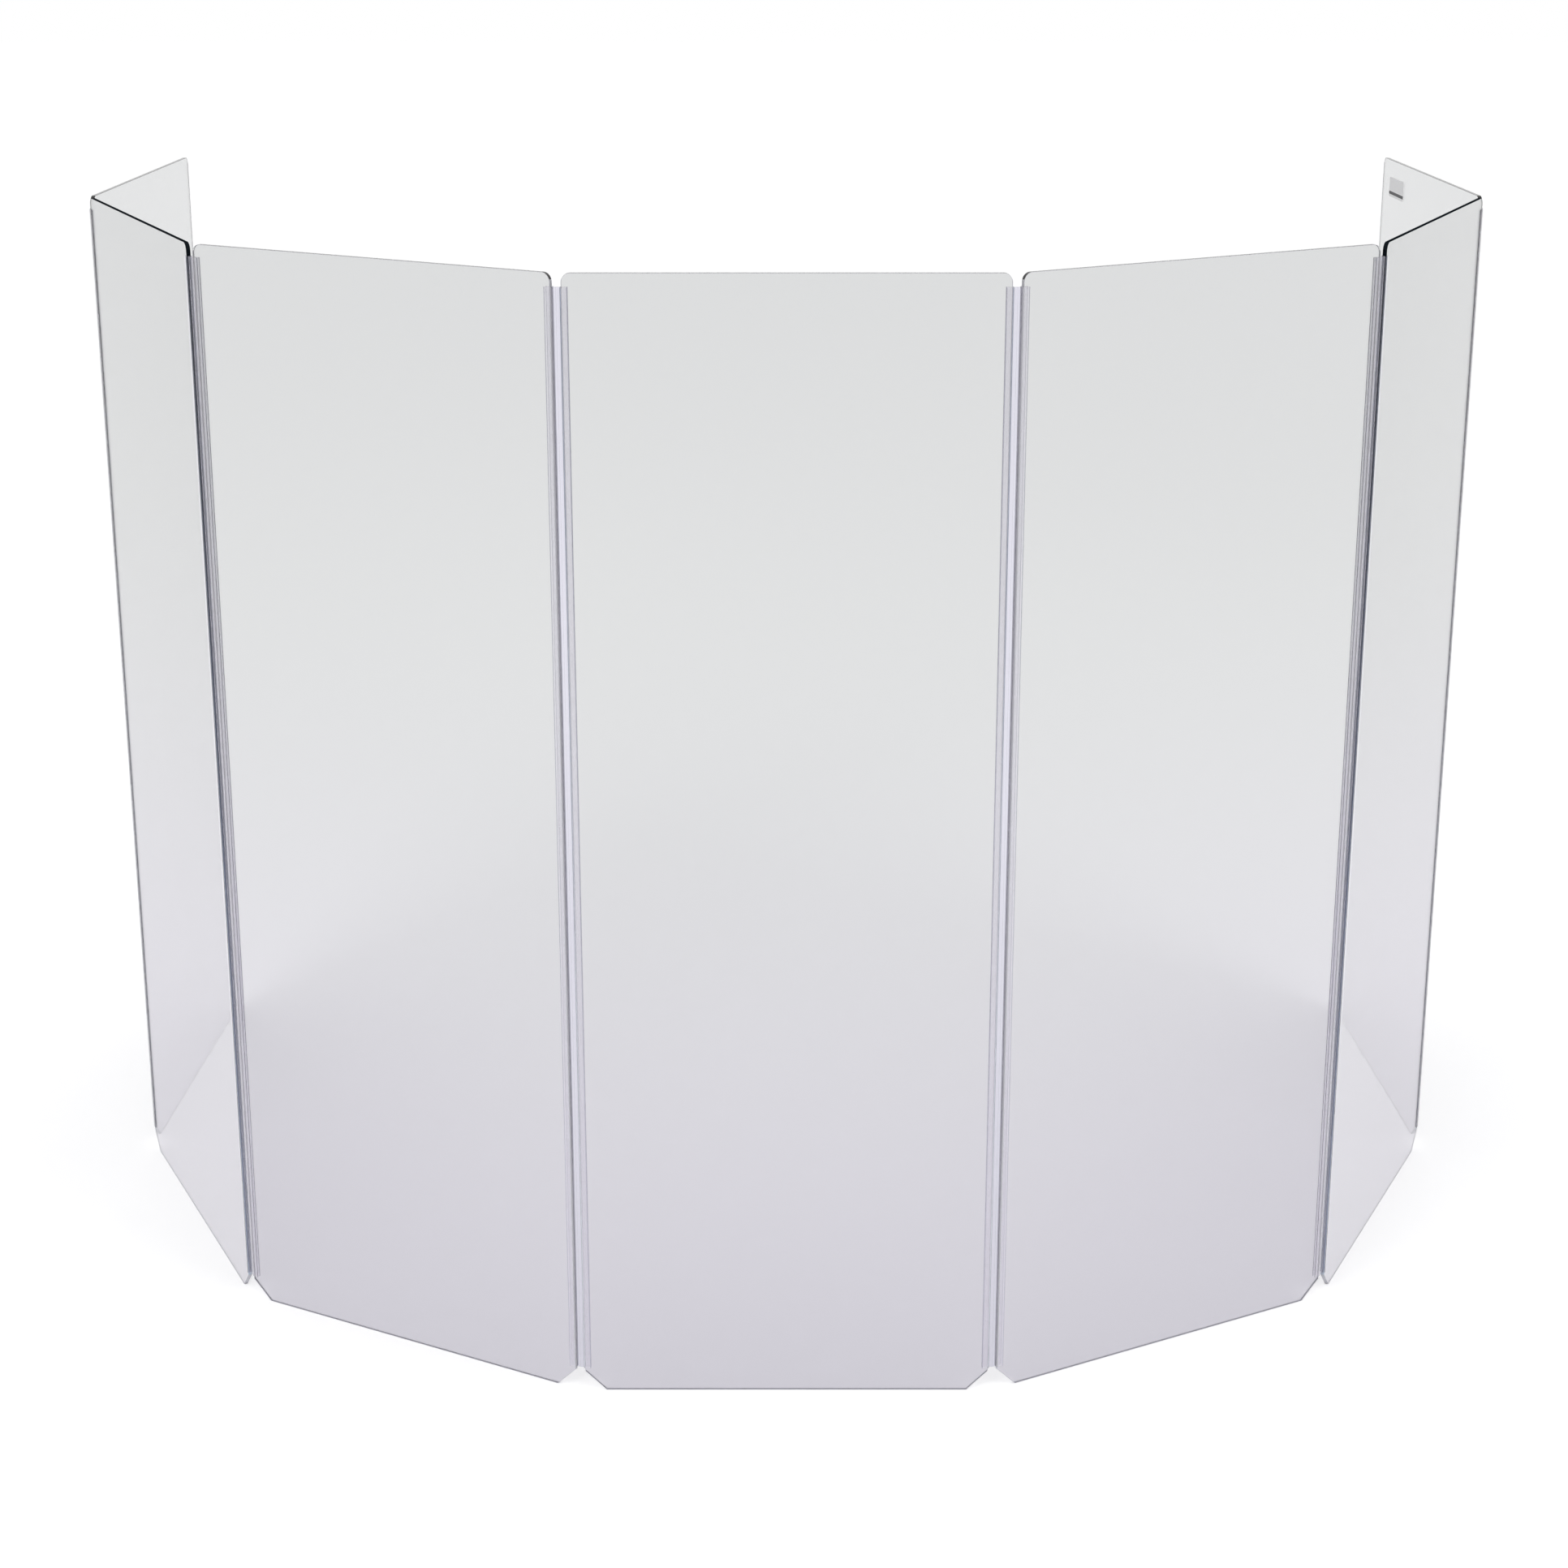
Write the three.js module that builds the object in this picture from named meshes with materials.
// A free-standing drum shield: seven clear acrylic panels in an arc, joined edge to edge by six
// full-height flexible hinges. Millimetres, +Z up. The floor is Z = 0, the middle panel stands on it
// across X = 0, the audience is towards -Y, and the arc opens towards +Y, where the drummer sits.
// Panels are numbered 1 to 7 from left to right as the audience sees them.
import * as THREE from 'three';

// Acrylic sheet
const PANEL_WIDTH = 603.25;
const PANEL_HEIGHT = 1676.4;
const PANEL_THICKNESS = 6.35;
const TOP_CORNER_RADIUS = 12.7;
const FREE_CORNER_RADIUS = 12.7;
const CABLE_CORNER_CUT = 31.75;
const EDGE_EASE = 0.6;

// Hinge extrusion: a stiff channel grips each panel edge, and a soft web joins the two channels
const CHANNEL_GRIP = 8.9;
const CHANNEL_WALL = 1;
const CHANNEL_BACK = 1.2;
const CHANNEL_BACK_ROUND = 1.1;
const CHANNEL_MOUTH_FLARE = 0.25;
const CHANNEL_MOUTH_DEPTH = 1.5;
const PANEL_CLEARANCE = 0.3;
const WEB_THICKNESS = 1.2;
const WEB_WAIST = 0.9;
const WEB_CLEARANCE = 0.3;
const FOLD_GAP = 0.45;
const HINGE_TOP_GAP = 6.3;
const HINGE_FOOT_GAP = 5;

// How far each hinge is turned in the arc, from the middle panel outwards, in degrees. Each one hangs
// a further panel on both sides.
const HINGE_ANGLES = [28, 36, 29];

const CURVE_STEPS = 5;

// Worked out from the sizes above
const WEB_END_RADIUS = WEB_THICKNESS / 2;
const CHANNEL_INNER_HALF = PANEL_THICKNESS / 2 + PANEL_CLEARANCE;
const CHANNEL_OUTER_HALF = CHANNEL_INNER_HALF + CHANNEL_WALL;
const WEB_SPAN = 2 * CHANNEL_OUTER_HALF + FOLD_GAP;
const AXIS_TO_PANEL = WEB_END_RADIUS + WEB_CLEARANCE + CHANNEL_BACK + PANEL_CLEARANCE;
const AXIS_PITCH = PANEL_WIDTH + 2 * AXIS_TO_PANEL;
const HINGE_BOTTOM = CABLE_CORNER_CUT + HINGE_FOOT_GAP;
const HINGE_TOP = PANEL_HEIGHT - TOP_CORNER_RADIUS - HINGE_TOP_GAP;
const PANELS_EACH_SIDE = HINGE_ANGLES.length;
const MIDDLE_PANEL = PANELS_EACH_SIDE + 1;
const LAST_PANEL = 2 * PANELS_EACH_SIDE + 1;

const acrylic = () => new THREE.MeshStandardMaterial({
  color: 0xdfe0e2, roughness: 0.05, metalness: 0, transparent: true, opacity: 0.35,
});
const stiffPvc = () => new THREE.MeshStandardMaterial({
  color: 0xc3c2d0, roughness: 0.18, metalness: 0, transparent: true, opacity: 0.6,
});
const softPvc = () => new THREE.MeshStandardMaterial({
  color: 0xd9d7e3, roughness: 0.3, metalness: 0, transparent: true, opacity: 0.6,
});

// The sheet's outline, with X along the panel from its left edge and Y up. Every top corner is
// rounded. At the foot a hinged side has a 45 degree cut that lets cables under the hinge, and a
// free side is rounded.
function panelOutline(leftHinged, rightHinged) {
  const shape = new THREE.Shape();
  const top = PANEL_HEIGHT - TOP_CORNER_RADIUS;
  if (leftHinged) {
    shape.moveTo(0, CABLE_CORNER_CUT);
    shape.lineTo(CABLE_CORNER_CUT, 0);
  } else {
    shape.absarc(FREE_CORNER_RADIUS, FREE_CORNER_RADIUS, FREE_CORNER_RADIUS, Math.PI, 1.5 * Math.PI);
  }
  if (rightHinged) {
    shape.lineTo(PANEL_WIDTH - CABLE_CORNER_CUT, 0);
    shape.lineTo(PANEL_WIDTH, CABLE_CORNER_CUT);
  } else {
    const centre = PANEL_WIDTH - FREE_CORNER_RADIUS;
    shape.absarc(centre, FREE_CORNER_RADIUS, FREE_CORNER_RADIUS, 1.5 * Math.PI, 2 * Math.PI);
  }
  shape.absarc(PANEL_WIDTH - TOP_CORNER_RADIUS, top, TOP_CORNER_RADIUS, 0, 0.5 * Math.PI);
  shape.absarc(TOP_CORNER_RADIUS, top, TOP_CORNER_RADIUS, 0.5 * Math.PI, Math.PI);
  shape.closePath();
  return shape;
}

// A panel stands on its foot with its middle plane on Y = 0 and its left edge on X = 0. Its edges
// are eased all round, as a saw-cut and flame-polished edge is.
function panelMesh(number) {
  const outline = panelOutline(number > 1, number < LAST_PANEL);
  const geometry = new THREE.ExtrudeGeometry(outline, {
    depth: PANEL_THICKNESS - 2 * EDGE_EASE,
    curveSegments: CURVE_STEPS,
    bevelSegments: 1,
    bevelThickness: EDGE_EASE,
    bevelSize: EDGE_EASE,
    bevelOffset: -EDGE_EASE,
  });
  geometry.translate(0, 0, EDGE_EASE - PANEL_THICKNESS / 2);
  geometry.rotateX(Math.PI / 2);
  const mesh = new THREE.Mesh(geometry, acrylic());
  mesh.name = `panel_${number}`;
  return mesh;
}

// The channel's section, with X = 0 on the panel's edge and +X into the panel: two flanges with
// round tips and a mouth that flares to take the sheet, and a back with round corners.
function channelSection() {
  const tip = (CHANNEL_WALL - CHANNEL_MOUTH_FLARE) / 2;
  const tipX = CHANNEL_GRIP - tip;
  const tipY = CHANNEL_OUTER_HALF - tip;
  const mouthX = CHANNEL_GRIP - CHANNEL_MOUTH_DEPTH;
  const roundX = CHANNEL_BACK_ROUND - PANEL_CLEARANCE - CHANNEL_BACK;
  const roundY = CHANNEL_OUTER_HALF - CHANNEL_BACK_ROUND;
  const shape = new THREE.Shape();
  shape.moveTo(mouthX, -CHANNEL_INNER_HALF);
  shape.lineTo(-PANEL_CLEARANCE, -CHANNEL_INNER_HALF);
  shape.lineTo(-PANEL_CLEARANCE, CHANNEL_INNER_HALF);
  shape.lineTo(mouthX, CHANNEL_INNER_HALF);
  shape.absarc(tipX, tipY, tip, -0.5 * Math.PI, 0.5 * Math.PI);
  shape.absarc(roundX, roundY, CHANNEL_BACK_ROUND, 0.5 * Math.PI, Math.PI);
  shape.absarc(roundX, -roundY, CHANNEL_BACK_ROUND, Math.PI, 1.5 * Math.PI);
  shape.absarc(tipX, -tipY, tip, -0.5 * Math.PI, 0.5 * Math.PI);
  shape.closePath();
  return shape;
}

// The web's section, from one bending line at X = 0 to the other at X = WEB_SPAN: a round bead on
// each line and a thinner waist between them.
function webSection() {
  const waist = WEB_WAIST / 2;
  const lean = Math.asin(waist / WEB_END_RADIUS);
  const shape = new THREE.Shape();
  shape.absarc(0, 0, WEB_END_RADIUS, lean, 2 * Math.PI - lean);
  shape.absarc(WEB_SPAN, 0, WEB_END_RADIUS, lean - Math.PI, Math.PI - lean);
  shape.closePath();
  return shape;
}

// A hinge piece is one section run from just above the cable cuts to just below the round corners.
function hingeMesh(name, section, material) {
  const geometry = new THREE.ExtrudeGeometry(section, {
    depth: HINGE_TOP - HINGE_BOTTOM, curveSegments: CURVE_STEPS, bevelEnabled: false,
  });
  geometry.translate(0, 0, HINGE_BOTTOM);
  const mesh = new THREE.Mesh(geometry, material);
  mesh.name = name;
  return mesh;
}

// One panel with the channels on its hinged edges. X = 0 is the bending line at its left edge.
function dressedPanel(number) {
  const group = new THREE.Group();
  const panel = panelMesh(number);
  panel.position.x = AXIS_TO_PANEL;
  group.add(panel);
  if (number > 1) {
    const channel = hingeMesh(`panel_${number}_left_channel`, channelSection(), stiffPvc());
    channel.position.x = AXIS_TO_PANEL;
    group.add(channel);
  }
  if (number < LAST_PANEL) {
    const channel = hingeMesh(`panel_${number}_right_channel`, channelSection(), stiffPvc());
    channel.position.x = AXIS_TO_PANEL + PANEL_WIDTH;
    channel.rotation.z = Math.PI;
    group.add(channel);
  }
  return group;
}

// Hangs the next hinge web and panel on a bending line, then the ones beyond them. side is 1 to the
// right of the middle panel and -1 to the left, where each group runs towards -X in its own frame.
function addArm(parent, lineX, side, step) {
  if (step > PANELS_EACH_SIDE) return;
  const halfTurn = side * THREE.MathUtils.degToRad(HINGE_ANGLES[step - 1] / 2);
  const number = MIDDLE_PANEL + side * step;
  const lower = Math.min(number, number - side);

  const webGroup = new THREE.Group();
  webGroup.position.x = lineX;
  webGroup.rotation.z = halfTurn;
  const web = hingeMesh(`web_${lower}_${lower + 1}`, webSection(), softPvc());
  if (side < 0) web.position.x = -WEB_SPAN;
  webGroup.add(web);
  parent.add(webGroup);

  const panelGroup = new THREE.Group();
  panelGroup.position.x = side * WEB_SPAN;
  panelGroup.rotation.z = halfTurn;
  const panel = dressedPanel(number);
  if (side < 0) panel.position.x = -AXIS_PITCH;
  panelGroup.add(panel);
  webGroup.add(panelGroup);

  addArm(panelGroup, side * AXIS_PITCH, side, step + 1);
}

const shield = new THREE.Group();
const middle = dressedPanel(MIDDLE_PANEL);
middle.position.x = -AXIS_PITCH / 2;
shield.add(middle);
addArm(shield, AXIS_PITCH / 2, 1, 1);
addArm(shield, -AXIS_PITCH / 2, -1, 1);

export default shield;
